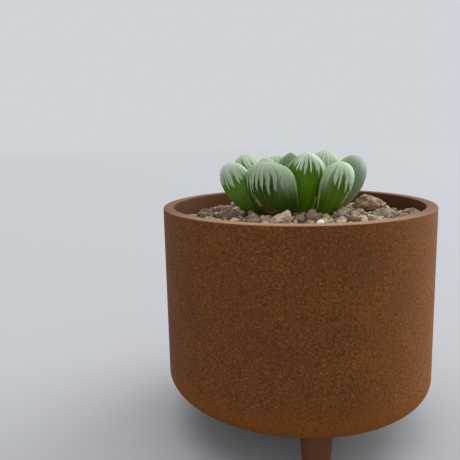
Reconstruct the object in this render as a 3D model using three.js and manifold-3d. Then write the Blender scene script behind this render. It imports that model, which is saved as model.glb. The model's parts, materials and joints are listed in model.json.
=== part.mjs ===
// A potted haworthia: a rosette of plump window leaves on a short stem, set in gritty soil with
// loose stones, in a cylindrical rust-coloured stoneware pot that stands on three stub feet.
// Millimetres, +Z up. The origin is on the surface that the feet stand on, under the pot's axis.
// The front is -Y. An azimuth is in degrees from the front, positive towards +X.

import * as THREE from "three";
import { mergeVertices } from "three/addons/utils/BufferGeometryUtils.js";
import Module from "manifold-3d";

const wasm = await Module();
wasm.setup();

// ---- Driving dimensions ----

const CLEARANCE = 0.3; // left between any two separate pieces

const POT_RADIUS = 50;
const POT_WALL = 3.85;
const POT_FLOOR = 5;
const POT_BODY_HEIGHT = 67.4; // from the underside of the base to the top of the rim
const POT_CORNER = 5; // outer radius where the wall meets the base
const POT_INNER_CORNER = 3;
const RIM_ROUND = 0.5; // radius of both edges of the rim
const POT_SEGMENTS = 48;
const DRAIN_RADIUS = 4.5;

const FOOT_COUNT = 3;
const FOOT_HEIGHT = 16;
const FOOT_TOP_RADIUS = 5.5;
const FOOT_TIP_RADIUS = 4.4;
const FOOT_BEVEL = 0.7; // round the face that it stands on
const FOOT_FILLET = 1.4; // where it spreads into the base
const FOOT_SUNK = 2; // how far its top reaches into the base
const FOOT_CIRCLE = 38.8; // radius of the circle that the feet stand on
const FRONT_FOOT_AZIMUTH = 7.6;
const FOOT_SEGMENTS = 16;

const SOIL_BELOW_RIM_AT_WALL = 7.2;
const SOIL_MOUND = 3.5; // how much higher the soil lies at the plant
const MOUND_RADIUS = 14; // the mound's level top
const SOIL_SEGMENTS = 44;
const SOIL_RINGS = 11;
const SOIL_ROUGHNESS = 0.9; // most that a point of the bed's top is moved each way
const SMOOTH_AT_WALL = 2; // the width of the bed that isn't roughened
const BEAD_RADIUS = 1.3;
const BEAD_AT = [6.9, -28.5, -3.2]; // from the pot's axis and above the rim

const GRAIN_SPACING = 8.4; // of the larger grains that are fused to the bed
const GRAIN_JITTER = 0.22; // of the spacing, each way
const GRAIN_RADIUS = [2.7, 3.8];
const GRAIN_SUNK = 0.45; // of its radius, the depth of a grain's centre in the bed
const ROW_SPACING = Math.sqrt(3) / 2; // of a triangular grid, as a share of its spacing

const ROSETTE_CENTRE = [-1, 0];
const STEM_RADIUS = 5.5;
const STEM_TOP = 2.5; // above the soil
const STEM_TOP_SHARE = 0.6; // of its radius
const STEM_DEPTH = 16; // below the soil
const STEM_END_SHARE = 0.5; // of its radius
const STEM_SEGMENTS = 14;

const CROWN_HOLE_RADIUS = 12; // of the plain hole in the soil that the middle of the plant stands in
const CROWN_HOLE_DEPTH = 7.5;
const CROWN_HOLE_FLOOR_SHARE = 0.6; // of its radius
const CROWN_HOLE_SEGMENTS = 20;
const ABOVE_GRAINS = 5; // clear of the highest grain round the hole

// The leaves stand in whorls round the heart. tip is a leaf's radius from the rosette's axis and its
// height above the pot's rim, and base is the azimuth and radius where it joins the crown. Where they
// aren't the usual ones, point is 0 for a blunt leaf and 1 for a pointed one, waist is the width at
// the base as a share of the width, taper is higher where the leaf stays slim for longer above its
// base, and facing is the azimuth that its back faces.
const WHORLS = {
  heart: {
    thickness: 4.4,
    leaves: [
      { azimuth: -30, tip: [1.5, 11.5], base: [-30, 1.6], width: 6.5, point: 0.8, waist: 0.6 },
      { azimuth: 110, tip: [1.5, 12], base: [110, 1.6], width: 6, point: 0.8, waist: 0.6 },
    ],
  },
  inner: {
    thickness: 5.6,
    leaves: [
      { azimuth: -100, tip: [6, 14], base: [-100, 3.2], width: 10.5, point: 0.6, waist: 0.6 },
      { azimuth: 30, tip: [5.6, 15.5], base: [30, 3.2], width: 10.5, point: 0.7, waist: 0.6 },
      { azimuth: 160, tip: [6, 14], base: [160, 3.2], width: 10.5, point: 0.7, waist: 0.6 },
    ],
  },
  middle: {
    thickness: 8,
    leaves: [
      { azimuth: 22, facing: 12, tip: [13, 19.2], base: [8, 5.6], width: 15, point: 0.7 },
      { azimuth: 65, facing: 48, tip: [13, 19.6], base: [72, 5], width: 17.6, waist: 0.4 },
      { azimuth: 122, tip: [13, 16], base: [122, 5.4], width: 14.5, point: 0.3 },
      { azimuth: -177, tip: [13.5, 18.4], base: [178, 5.4], width: 12.4, point: 0.9 },
      { azimuth: -123, tip: [12.5, 17], base: [-123, 5.4], width: 13.5, point: 0.2 },
      { azimuth: -55, tip: [12.5, 15.5], base: [-58, 5.4], width: 14, point: 0.3 },
    ],
  },
  outer: {
    thickness: 10.6,
    leaves: [
      { azimuth: -28.3, tip: [20.2, 16.3], base: [-16, 8.4], width: 19.2, taper: 1.3 },
      { azimuth: 45.4, facing: 26, tip: [22.8, 16], base: [42, 10.6], width: 11.8, waist: 0.3, taper: 2.4 },
      { azimuth: -71, facing: -50, tip: [25.3, 15.8], base: [-58, 6], width: 14.4, waist: 0.45 },
      { azimuth: 82, facing: 52, tip: [23.2, 17.4], base: [76, 7], width: 16, waist: 0.35 },
      { azimuth: 143, tip: [21.5, 15.5], base: [140, 7.5], width: 18.5, point: 0.2, waist: 0.45 },
      { azimuth: -117, tip: [22, 18], base: [-115, 7], width: 14.8, point: 0.2, waist: 0.45 },
      { azimuth: -162, tip: [20.5, 16.8], base: [-165, 7.5], width: 18, point: 0.1, waist: 0.45 },
    ],
  },
};
const USUAL_LEAF = { point: 0, waist: 0.5, taper: 1.6 };
const LEAF_BASE_DEPTH = 3.5; // how far a leaf's base lies below the soil
const BEND_RADIUS = 0.64; // where the midrib bends, as shares of the way from base to tip
const BEND_HEIGHT = 0.4;
const WIDEST_AT = 0.74; // of the leaf's length
const THICKEST_AT = 0.66;
const BASE_THICKNESS = 0.4; // as a share of the thickness
const THICKNESS_TAPER = 1.4;
const BACK_SHARE = 0.6; // of a leaf's thickness, the share on its outer side
const BLUNT_TIP = { fall: 2.8, round: 0.5 }; // how the width runs out beyond the widest place
const POINTED_TIP = { fall: 1.7, round: 0.75 };

// A leaf's skin is made of rings along it, up to its end, and outset makes a coarse ring reach as
// far as a fine one. The foot is the plain lower part, for the room that the soil leaves.
const RING_COUNT = 9;
const WHOLE_LEAF = {
  rings: Array.from({ length: RING_COUNT }, (_, i) => Math.sin((Math.PI / 2) * (i / RING_COUNT))),
  end: 1,
  sides: 12,
  outset: 1,
};
const LEAF_FOOT = { rings: [0, 0.15, 0.3, 0.45], end: 0.45, sides: 8, outset: 1 / Math.cos(Math.PI / 8) };

// Loose stones. at is the centre, from the pot's axis and above the rim; size is along X, Y and Z
// before the turn about Z; taper narrows the top and lean moves it sideways along X.
const STONES = {
  stone_tan_peak: { at: [-6.2, -26, -2.3], size: [7.6, 6, 7], turn: 0, taper: 0.6, lean: 2.9 },
  stone_dark_small: { at: [0.6, -22.5, -3], size: [5, 4.4, 4.2], turn: 20 },
  stone_dark_peak: { at: [4.1, -21.8, -2.3], size: [6.2, 5, 6.7], turn: 0, taper: 0.5, lean: 0.8 },
  stone_rough: { at: [16.6, -17, -2.7], size: [11.4, 7, 6.4], turn: 12, taper: 0.3, lean: -0.6 },
  stone_big: { at: [28.8, 8.5, -2], size: [14, 9.5, 7.2], turn: 8, taper: 0.4, lean: -2 },
  stone_grey: { at: [31.5, -5.5, -4], size: [11.5, 6.5, 5], turn: -8 },
  stone_grey_small: { at: [21.6, -8.5, -3.6], size: [5.2, 5, 4.6], turn: 30 },
  stone_right: { at: [39.9, -8.5, -3.7], size: [8, 8, 5.2], turn: 15, taper: 0.3, lean: 1 },
  stone_left: { at: [-33.5, -9, -3.6], size: [8, 6.6, 5.4], turn: 10 },
  stone_left_brown: { at: [-24.6, -12, -3], size: [9, 6.6, 5.6], turn: -10 },
  stone_left_back: { at: [-29, 4, -3.6], size: [6.4, 6, 5], turn: 40 },
  stone_left_low: { at: [-15.5, -22, -3.4], size: [6.5, 5.2, 4.6], turn: 10 },
  stone_back: { at: [6, 33, -4.4], size: [9, 7, 5.6], turn: 25, taper: 0.3 },
  stone_back_left: { at: [-22, 27, -4.2], size: [8, 6, 5.4], turn: -30, taper: 0.3 },
};
const USUAL_STONE = { taper: 0.2, lean: 0 };
const STONE_ROUGHNESS = [0.84, 1.12]; // how far in and out a corner is pushed
const STONE_MIDDLE_SHARE = 1 / 3; // of its length, the radius round it that is kept free of grains

// Each stone and random pattern has a seed of its own.
const SEED = { bed: 5, firstStone: 11, grains: 20 };

const RIM_HEIGHT = FOOT_HEIGHT + POT_BODY_HEIGHT;
const POT_INNER_RADIUS = POT_RADIUS - POT_WALL;
const FLOOR_HEIGHT = FOOT_HEIGHT + POT_FLOOR;
const SOIL_AT_PLANT = RIM_HEIGHT - SOIL_BELOW_RIM_AT_WALL + SOIL_MOUND;

// ---- Small helpers ----

const { degToRad, lerp, smoothstep } = THREE.MathUtils;

// A seeded generator of numbers from 0 to 1, so that every build is the same.
function seeded(seed) {
  const [step, shift, range] = [1664525, 1013904223, 2 ** 32];
  let state = seed;
  return () => {
    state = (state * step + shift) % range;
    return state / range;
  };
}

// The point at a radius and azimuth round a vertical axis through the centre given.
function around(radius, azimuth, z, centre = [0, 0]) {
  const a = degToRad(azimuth);
  return new THREE.Vector3(centre[0] + radius * Math.sin(a), centre[1] - radius * Math.cos(a), z);
}

// A closed three.js geometry with its corners merged, and with places alone.
function merged(geometry) {
  const bare = geometry.clone();
  bare.deleteAttribute("normal");
  bare.deleteAttribute("uv");
  return mergeVertices(bare, 1e-4);
}

// A closed three.js geometry as a solid that can be joined and cut. Faces that merging has closed
// up, as at a lathe's axis, are dropped.
function solid(geometry) {
  const { index, attributes } = merged(geometry);
  const kept = [];
  for (let i = 0; i < index.array.length; i += 3) {
    const [a, b, c] = index.array.slice(i, i + 3);
    if (a !== b && b !== c && c !== a) kept.push(a, b, c);
  }
  const vertProperties = new Float32Array(attributes.position.array);
  return new wasm.Manifold(new wasm.Mesh({ numProp: 3, vertProperties, triVerts: new Uint32Array(kept) }));
}

// A solid of revolution about Z. The profile is [radius, height] pairs, from the bottom at the
// axis, out and up to the top at the axis, or round a closed loop in that sense.
function lathe(profile, segments) {
  const points = profile.map(([radius, height]) => new THREE.Vector2(radius, height));
  return new THREE.LatheGeometry(points, segments).rotateX(Math.PI / 2);
}

function turned(profile, segments) {
  return solid(lathe(profile, segments));
}

// Points on an arc, from one angle to another in degrees.
function arc(centreRadius, centreHeight, radius, from, to, steps) {
  return Array.from({ length: steps + 1 }, (_, i) => {
    const a = degToRad(lerp(from, to, i / steps));
    return [centreRadius + radius * Math.cos(a), centreHeight + radius * Math.sin(a)];
  });
}

// The largest body of a solid: scraps that a cut leaves loose beside it are dropped.
function mainBody(made) {
  return made.decompose().reduce((a, b) => (b.volume() > a.volume() ? b : a));
}

const group = new THREE.Group();

function addNode(name, made, material) {
  const { vertProperties, triVerts } = made.getMesh();
  const geometry = new THREE.BufferGeometry();
  geometry.setAttribute("position", new THREE.BufferAttribute(vertProperties, 3));
  geometry.setIndex(new THREE.BufferAttribute(triVerts, 1));
  const mesh = new THREE.Mesh(geometry, material);
  mesh.name = name;
  group.add(mesh);
}

// ---- Materials ----

const stoneware = new THREE.MeshStandardMaterial({ color: 0x5c3420, roughness: 0.75, metalness: 0 });
const leafGreen = new THREE.MeshStandardMaterial({ color: 0x4c7a3a, roughness: 0.35, metalness: 0 });
const stemGreen = new THREE.MeshStandardMaterial({ color: 0x8f9a5c, roughness: 0.7, metalness: 0 });
const grit = new THREE.MeshStandardMaterial({ color: 0x7d6857, roughness: 0.95, metalness: 0 });
const tanStone = new THREE.MeshStandardMaterial({ color: 0x9b8266, roughness: 0.95, metalness: 0 });
const beadWhite = new THREE.MeshStandardMaterial({ color: 0xf0ece2, roughness: 0.4, metalness: 0 });

// ---- Pot: one fired piece, a turned body with the feet joined to its base ----

function potBody() {
  const [outer, inner] = [POT_CORNER, POT_INNER_CORNER];
  const rimEdge = RIM_HEIGHT - RIM_ROUND;
  return turned(
    [
      [DRAIN_RADIUS, FOOT_HEIGHT],
      ...arc(POT_RADIUS - outer, FOOT_HEIGHT + outer, outer, -90, 0, 4),
      ...arc(POT_RADIUS - RIM_ROUND, rimEdge, RIM_ROUND, 0, 90, 2),
      ...arc(POT_INNER_RADIUS + RIM_ROUND, rimEdge, RIM_ROUND, 90, 180, 2),
      ...arc(POT_INNER_RADIUS - inner, FLOOR_HEIGHT + inner, inner, 0, -90, 2),
      [DRAIN_RADIUS, FLOOR_HEIGHT],
      [DRAIN_RADIUS, FOOT_HEIGHT],
    ],
    POT_SEGMENTS,
  );
}

function foot() {
  return turned(
    [
      [0, 0],
      [FOOT_TIP_RADIUS - FOOT_BEVEL, 0],
      [FOOT_TIP_RADIUS, FOOT_BEVEL],
      [FOOT_TOP_RADIUS, FOOT_HEIGHT - FOOT_FILLET],
      ...arc(FOOT_TOP_RADIUS + FOOT_FILLET, FOOT_HEIGHT - FOOT_FILLET, FOOT_FILLET, 150, 90, 2),
      [FOOT_TOP_RADIUS + FOOT_FILLET, FOOT_HEIGHT + FOOT_SUNK],
      [0, FOOT_HEIGHT + FOOT_SUNK],
    ],
    FOOT_SEGMENTS,
  );
}

function pot() {
  let made = potBody();
  for (let i = 0; i < FOOT_COUNT; i++) {
    const place = around(FOOT_CIRCLE, FRONT_FOOT_AZIMUTH + (360 / FOOT_COUNT) * i, 0);
    made = made.add(foot().translate([place.x, place.y, 0]));
  }
  return made;
}

// ---- Stem: the short stem under the rosette, mostly in the soil ----

// grow thickens a piece all round, to make the room that its neighbours leave for it.
function stem(grow) {
  const radius = STEM_RADIUS + grow;
  const [low, high] = [SOIL_AT_PLANT - STEM_DEPTH, SOIL_AT_PLANT + STEM_TOP];
  const profile = [
    [0, low - grow],
    [STEM_END_SHARE * radius, low - grow],
    [radius, SOIL_AT_PLANT - LEAF_BASE_DEPTH],
    [STEM_TOP_SHARE * radius, high + grow],
    [0, high + grow],
  ];
  return turned(profile, STEM_SEGMENTS).translate([...ROSETTE_CENTRE, 0]);
}

// ---- Leaves ----

// Half-width along a leaf, from 0 at its base to 1 at its tip, as a share of the widest.
function widthShare(s, { point, waist, taper }) {
  if (s < WIDEST_AT) return lerp(waist, 1, Math.sin((Math.PI / 2) * (s / WIDEST_AT)) ** taper);
  const beyond = (s - WIDEST_AT) / (1 - WIDEST_AT);
  const fall = lerp(BLUNT_TIP.fall, POINTED_TIP.fall, point);
  return Math.max(0, 1 - beyond ** fall) ** lerp(BLUNT_TIP.round, POINTED_TIP.round, point);
}

// Thickness along a leaf, which swells towards its tip.
function thicknessShare(s) {
  if (s < THICKEST_AT) {
    return lerp(BASE_THICKNESS, 1, Math.sin((Math.PI / 2) * (s / THICKEST_AT)) ** THICKNESS_TAPER);
  }
  const beyond = (s - THICKEST_AT) / (1 - THICKEST_AT);
  return Math.sqrt(Math.max(0, 1 - beyond * beyond));
}

function midribOf({ azimuth, tip, base }) {
  const [baseAzimuth, baseRadius] = base;
  const [tipRadius, tipHeight] = [tip[0], RIM_HEIGHT + tip[1]];
  const baseHeight = SOIL_AT_PLANT - LEAF_BASE_DEPTH;
  const bendHeight = lerp(baseHeight, tipHeight, BEND_HEIGHT);
  return new THREE.QuadraticBezierCurve3(
    around(baseRadius, baseAzimuth, baseHeight, ROSETTE_CENTRE),
    around(lerp(baseRadius, tipRadius, BEND_RADIUS), azimuth, bendHeight, ROSETTE_CENTRE),
    around(tipRadius, azimuth, tipHeight, ROSETTE_CENTRE),
  );
}

// The places of a leaf's skin: its rings in turn, the end of its tip, and the end of its base. Its
// outer side is the rounder one, its face is flatter, and the two meet at a margin on each side.
function skinPoints(leaf, thickness, grow, { rings, end, sides, outset }) {
  const midrib = midribOf(leaf);
  const outward = around(1, leaf.facing ?? leaf.azimuth, 0);
  const points = [];
  for (const s of rings) {
    const along = midrib.getTangent(s);
    const side = new THREE.Vector3().crossVectors(along, outward).normalize();
    const back = new THREE.Vector3().crossVectors(side, along);
    const halfWidth = ((leaf.width / 2) * widthShare(s, leaf) + grow) * outset;
    for (let i = 0; i < sides; i++) {
      const a = (2 * Math.PI * i) / sides;
      const share = Math.sin(a) > 0 ? BACK_SHARE : 1 - BACK_SHARE;
      const depth = (thickness * share * thicknessShare(s) + grow) * outset;
      const p = midrib.getPoint(s).addScaledVector(side, halfWidth * Math.cos(a));
      points.push(p.addScaledVector(back, depth * Math.sin(a)));
    }
  }
  const up = new THREE.Vector3(0, 0, grow);
  points.push(midrib.getPoint(end).add(up), midrib.getPoint(0).sub(up));
  return points;
}

function leafSolid(leaf, thickness, grow, form = WHOLE_LEAF) {
  const { sides } = form;
  const points = skinPoints({ ...USUAL_LEAF, ...leaf }, thickness, grow, form);
  const topRing = form.rings.length - 1;
  const [tipIndex, baseIndex] = [points.length - 2, points.length - 1];
  const corner = (ring, i) => ring * sides + (i % sides);
  const faces = [];
  for (let i = 0; i < sides; i++) {
    faces.push(baseIndex, corner(0, i), corner(0, i + 1));
    for (let ring = 0; ring < topRing; ring++) {
      const [a, b] = [corner(ring, i), corner(ring, i + 1)];
      const [c, d] = [corner(ring + 1, i + 1), corner(ring + 1, i)];
      faces.push(a, c, b, a, d, c);
    }
    faces.push(corner(topRing, i + 1), corner(topRing, i), tipIndex);
  }
  return solid(new THREE.BufferGeometry().setFromPoints(points).setIndex(faces));
}

function crownHole() {
  const [low, high] = [SOIL_AT_PLANT - CROWN_HOLE_DEPTH, SOIL_AT_PLANT + ABOVE_GRAINS];
  const profile = [
    [0, low],
    [CROWN_HOLE_FLOOR_SHARE * CROWN_HOLE_RADIUS, low],
    [CROWN_HOLE_RADIUS, SOIL_AT_PLANT],
    [CROWN_HOLE_RADIUS, high],
    [0, high],
  ];
  return turned(profile, CROWN_HOLE_SEGMENTS).translate([...ROSETTE_CENTRE, 0]);
}

// The leaves press on each other: those placed first keep their form, and each later one is
// hollowed where it lies against them. room is what they and the stem need clear round them, and
// hole is the room that the soil leaves: a plain hole, with a coarse notch for each outer leaf.
function rosette() {
  const leaves = [];
  let room = stem(CLEARANCE);
  let hole = crownHole().add(room);
  for (const [whorl, { thickness, leaves: shapes }] of Object.entries(WHORLS)) {
    shapes.forEach((leaf, i) => {
      const made = mainBody(leafSolid(leaf, thickness, 0).subtract(room));
      leaves.push({ name: `leaf_${whorl}_${i + 1}`, made });
      room = room.add(leafSolid(leaf, thickness, CLEARANCE));
      if (whorl === "outer") hole = hole.add(leafSolid(leaf, thickness, CLEARANCE, LEAF_FOOT));
    });
  }
  return { leaves, room, hole };
}

// ---- Stones and soil ----

// A rough stone: a faceted ball whose corners are pushed in and out.
function stone(shape, seed, grow) {
  const { at, size, turn, taper, lean } = { ...USUAL_STONE, ...shape };
  const half = size.map((length) => length / 2 + grow);
  const random = seeded(seed);
  const rough = merged(new THREE.IcosahedronGeometry(1, 1));
  const corners = rough.getAttribute("position");
  for (let i = 0; i < corners.count; i++) {
    const corner = new THREE.Vector3().fromBufferAttribute(corners, i);
    const { x, y, z } = corner.multiplyScalar(lerp(...STONE_ROUGHNESS, random()));
    const up = Math.max(0, z);
    const narrow = 1 - taper * up;
    corners.setXYZ(i, half[0] * x * narrow + lean * up, half[1] * y * narrow, half[2] * z);
  }
  return solid(rough.rotateZ(degToRad(turn))).translate([at[0], at[1], RIM_HEIGHT + at[2]]);
}

// Height of the soil at a distance from the pot's axis, before its grains are added.
function soilHeight(radius) {
  const mound = smoothstep(POT_INNER_RADIUS - radius, 0, POT_INNER_RADIUS - MOUND_RADIUS);
  return RIM_HEIGHT - SOIL_BELOW_RIM_AT_WALL + SOIL_MOUND * mound;
}

// Whether a grain has room: clear of the pot's wall, and not under the plant or a stone.
function grainFits(x, y, radius) {
  if (Math.hypot(x, y) + radius > POT_INNER_RADIUS - 2 * CLEARANCE) return false;
  if (Math.hypot(x - ROSETTE_CENTRE[0], y - ROSETTE_CENTRE[1]) < CROWN_HOLE_RADIUS) return false;
  return Object.values(STONES).every(({ at, size }) => {
    return Math.hypot(x - at[0], y - at[1]) >= size[0] * STONE_MIDDLE_SHARE;
  });
}

// Grains on a jittered triangular grid over the soil.
function soilGrains() {
  const random = seeded(SEED.grains);
  const jitter = () => lerp(-GRAIN_JITTER, GRAIN_JITTER, random());
  const grains = [];
  const reach = Math.ceil(POT_INNER_RADIUS / GRAIN_SPACING) + 1;
  for (let row = -reach; row <= reach; row++) {
    for (let column = -reach; column <= reach; column++) {
      const x = (column + (row % 2 ? 0.5 : 0) + jitter()) * GRAIN_SPACING;
      const y = (row * ROW_SPACING + jitter()) * GRAIN_SPACING;
      const radius = lerp(...GRAIN_RADIUS, random());
      const [tilt, spin] = [random() * Math.PI, random() * Math.PI];
      if (!grainFits(x, y, radius)) continue;
      const ball = new THREE.IcosahedronGeometry(radius, 0).rotateX(tilt).rotateZ(spin);
      grains.push(solid(ball).translate([x, y, soilHeight(Math.hypot(x, y)) - GRAIN_SUNK * radius]));
    }
  }
  return grains;
}

// The bed of soil, which fills the pot, with its top roughened by small random moves.
function soilBed() {
  const random = seeded(SEED.bed);
  const shift = () => lerp(-SOIL_ROUGHNESS, SOIL_ROUGHNESS, random());
  const wallRadius = POT_INNER_RADIUS - CLEARANCE;
  const corner = POT_INNER_CORNER;
  const floor = FLOOR_HEIGHT + CLEARANCE;
  const rings = Array.from({ length: SOIL_RINGS }, (_, i) => wallRadius * (1 - i / SOIL_RINGS));
  const profile = [
    [0, floor],
    ...arc(wallRadius - corner, floor + corner, corner, -90, 0, 2),
    ...rings.map((radius) => [radius, soilHeight(radius)]),
    [0, SOIL_AT_PLANT],
  ];
  const bed = merged(lathe(profile, SOIL_SEGMENTS));
  const points = bed.getAttribute("position");
  const lowestTop = soilHeight(wallRadius) - CLEARANCE;
  for (let i = 0; i < points.count; i++) {
    const { x, y, z } = new THREE.Vector3().fromBufferAttribute(points, i);
    const onTop = z > lowestTop && Math.hypot(x, y) < wallRadius - SMOOTH_AT_WALL;
    if (onTop) points.setXYZ(i, x + shift(), y + shift(), z + shift());
  }
  return solid(bed);
}

function soil(hollows) {
  return mainBody(soilGrains().reduce((made, grain) => made.add(grain), soilBed()).subtract(hollows));
}

function bead(radius) {
  const [x, y, z] = BEAD_AT;
  return solid(new THREE.IcosahedronGeometry(radius, 1)).translate([x, y, RIM_HEIGHT + z]);
}

// ---- Assembly ----

const { leaves, room, hole } = rosette();
addNode("pot", pot(), stoneware);
addNode("stem", stem(0), stemGreen);
for (const { name, made } of leaves) addNode(name, made, leafGreen);

let beside = room.add(bead(BEAD_RADIUS + CLEARANCE));
let below = hole.add(bead(BEAD_RADIUS + CLEARANCE));
Object.entries(STONES).forEach(([name, shape], i) => {
  const seed = SEED.firstStone + i;
  addNode(name, mainBody(stone(shape, seed, 0).subtract(beside)), tanStone);
  beside = beside.add(stone(shape, seed, CLEARANCE));
  below = below.add(stone(shape, seed, CLEARANCE));
});
addNode("bead", bead(BEAD_RADIUS), beadWhite);
addNode("soil", soil(below), grit);

export default group;
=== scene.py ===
# %% [markdown]
# # A potted haworthia
# A small succulent with plump window leaves stands in gritty soil, in a straight-sided pot of rust-brown
# stoneware on three stub feet. The solids of the part are loaded first as a fixed frame. Every piece made
# here takes its place from them, and each one is shown instead of the plain solid that it stands for.

# %% Load the frame
import json
import math
import random

import bmesh
import bpy
from mathutils import Matrix, Vector, noise


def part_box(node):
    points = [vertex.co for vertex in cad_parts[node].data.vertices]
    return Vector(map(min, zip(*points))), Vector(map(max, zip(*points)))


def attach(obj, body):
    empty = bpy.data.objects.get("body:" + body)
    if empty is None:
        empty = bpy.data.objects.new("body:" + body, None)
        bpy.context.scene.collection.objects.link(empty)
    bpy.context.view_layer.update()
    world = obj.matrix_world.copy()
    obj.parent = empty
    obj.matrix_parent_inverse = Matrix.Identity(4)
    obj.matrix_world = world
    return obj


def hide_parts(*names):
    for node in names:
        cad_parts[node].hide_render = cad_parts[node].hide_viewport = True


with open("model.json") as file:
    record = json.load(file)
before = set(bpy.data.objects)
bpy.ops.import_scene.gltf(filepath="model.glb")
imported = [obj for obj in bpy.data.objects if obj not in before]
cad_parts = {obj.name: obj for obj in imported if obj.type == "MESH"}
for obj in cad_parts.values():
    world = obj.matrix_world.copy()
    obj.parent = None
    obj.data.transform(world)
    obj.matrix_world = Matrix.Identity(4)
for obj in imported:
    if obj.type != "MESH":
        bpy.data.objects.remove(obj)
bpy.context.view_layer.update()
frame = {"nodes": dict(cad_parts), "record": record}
MM = 0.001
print("solids:", len(frame["nodes"]))

# %% [markdown]
# ## The camera
# The camera stands where the photographer stood: a little above the rim, close to the pot, and turned a
# few degrees to the left. A picture is 460 pixels on each side, so a focal length found in pixels becomes
# a lens in millimetres on Blender's usual sensor. The small shift is there because the optical axis meets
# the picture a little above its middle.

# %% Place the camera
PICTURE = 460
SENSOR = 36
CAMERA_AT = Vector((-6.45, -188.97, 108.48)) * MM
CAMERA_TURN = math.radians(5.7)
CAMERA_DOWN = math.radians(8.84)
CAMERA_ROLL = math.radians(-1.26)
FOCAL_PIXELS = 497.3
AXIS_ABOVE_MIDDLE = 15.6


def add_object(name, data):
    made = bpy.data.objects.new(name, data)
    bpy.context.scene.collection.objects.link(made)
    return made


camera = add_object("camera", bpy.data.cameras.new("camera"))
camera.data.sensor_width = SENSOR
camera.data.lens = FOCAL_PIXELS * SENSOR / PICTURE
camera.data.shift_y = -AXIS_ABOVE_MIDDLE / PICTURE
camera.data.clip_start = 5 * MM
camera.matrix_world = (
    Matrix.Translation(CAMERA_AT)
    @ Matrix.Rotation(CAMERA_TURN, 4, "Z")
    @ Matrix.Rotation(math.pi / 2 - CAMERA_DOWN, 4, "X")
    @ Matrix.Rotation(CAMERA_ROLL, 4, "Z")
)
bpy.context.scene.camera = camera
print("lens in mm:", round(camera.data.lens, 2))

# %% [markdown]
# ## Floor and light
# A plain pale floor under an even, pale sky shows a matt pot and glossy leaves well, as in a light tent.
# The world gives soft light from all sides. A broad sun high up brightens the rim, the leaf tips and the
# floor. A second one, low on the right and a little behind, makes the pot's wall lighter from its middle
# to its right edge, and shines into the pot on the left of the plant. Suns light the whole floor evenly,
# so it runs into the sky with hardly a line.

# %% Make the floor and the lights
bpy.context.scene.view_settings.view_transform = "Standard"


def linear(red, green, blue):
    """A colour as a painter names it, 0 to 255 each, in the linear values that shaders use."""
    def one(value):
        value /= 255
        return value / 12.92 if value <= 0.04045 else ((value + 0.055) / 1.055) ** 2.4

    return (one(red), one(green), one(blue), 1.0)


def mesh_from(bm, name):
    """The mesh that a bmesh holds. The bmesh is freed."""
    mesh = bpy.data.meshes.new(name)
    bm.to_mesh(mesh)
    bm.free()
    return mesh


def object_from(bm, name):
    return add_object(name, mesh_from(bm, name))


def inputs_of(holder, kind, **values):
    """The inputs of a material's or a world's shader, with plain values set."""
    holder.use_nodes = True
    inputs = holder.node_tree.nodes[kind].inputs
    for name, value in values.items():
        inputs[name.replace("_", " ")].default_value = value
    return inputs


FLOOR_SIZE = 8.0
bm = bmesh.new()
bmesh.ops.create_grid(bm, x_segments=1, y_segments=1, size=FLOOR_SIZE / 2)
floor = object_from(bm, "floor")
floor_material = bpy.data.materials.new("pale_floor")
inputs_of(floor_material, "Principled BSDF", Base_Color=linear(168, 169, 172), Roughness=0.8)
floor.data.materials.append(floor_material)

world = bpy.data.worlds.new("soft_room")
inputs_of(world, "Background", Color=linear(226, 229, 234), Strength=0.83)
bpy.context.scene.world = world

SUNS = {  # the direction that each shines from, the width of its soft disc in degrees, and its strength
    "overhead": {"from": (0.05, 0.2, 1.0), "width": 80, "strength": 1.7},
    "right": {"from": (0.82, 0.5, 0.4), "width": 55, "strength": 2.2},
}
for name, sun in SUNS.items():
    lamp = bpy.data.lights.new(name, "SUN")
    lamp.energy = sun["strength"]
    lamp.angle = math.radians(sun["width"])
    holder = add_object(name, lamp)
    holder.rotation_euler = Vector(sun["from"]).to_track_quat("Z", "Y").to_euler()
print("suns:", ", ".join(SUNS))

# %% [markdown]
# ## Helpers for nodes
# A material here is a small graph. `node` adds one node, sets what it is given, and links each input that
# is handed a socket. `layered` lays colours over one another, `speckle` adds noise and `bumped` a relief.
# `group_tree` starts a node group with named sockets, for an effect that several materials share.

# %% Node helpers
def node(tree, kind, inputs=None, **settings):
    made = tree.nodes.new("ShaderNode" + kind)
    for name, value in settings.items():
        setattr(made, name, value)
    for name, value in (inputs or {}).items():
        socket = made.inputs[name]
        if isinstance(value, bpy.types.NodeSocket):
            tree.links.new(value, socket)
        else:
            socket.default_value = value
    return made


def maths(tree, operation, a, b=0.0):
    return node(tree, "Math", {0: a, 1: b}, operation=operation).outputs[0]


def product(tree, a, b):
    return maths(tree, "MULTIPLY", a, b)


def remap(tree, value, low, high, to_low=0.0, to_high=1.0, kind="LINEAR"):
    inputs = {"Value": value, "From Min": low, "From Max": high, "To Min": to_low, "To Max": to_high}
    return node(tree, "MapRange", inputs, interpolation_type=kind).outputs["Result"]


def eased(tree, *ranges):
    """A remap that starts and ends softly."""
    return remap(tree, *ranges, kind="SMOOTHSTEP")


def blended(tree, share, a, b):
    """Colour a where share is 0 and b where it is 1."""
    return node(tree, "Mix", {0: share, 6: a, 7: b}, data_type="RGBA").outputs[2]


def layered(tree, colour, layers):
    """A colour with others laid over it in turn. Each layer is the share it covers and its colour."""
    for share, over in layers:
        colour = blended(tree, share, colour, over)
    return colour


def speckle(tree, place, scale, detail=2.0, roughness=0.5):
    """Noise from 0 to 1, with features about 1 / scale across, in the units of place."""
    inputs = {"Vector": place, "Scale": scale, "Detail": detail, "Roughness": roughness}
    return node(tree, "TexNoise", inputs).outputs["Fac"]


def bumped(tree, surface, height, strength, distance):
    bump = node(tree, "Bump", {"Height": height, "Strength": strength, "Distance": distance})
    tree.links.new(bump.outputs["Normal"], surface["Normal"])


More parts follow.
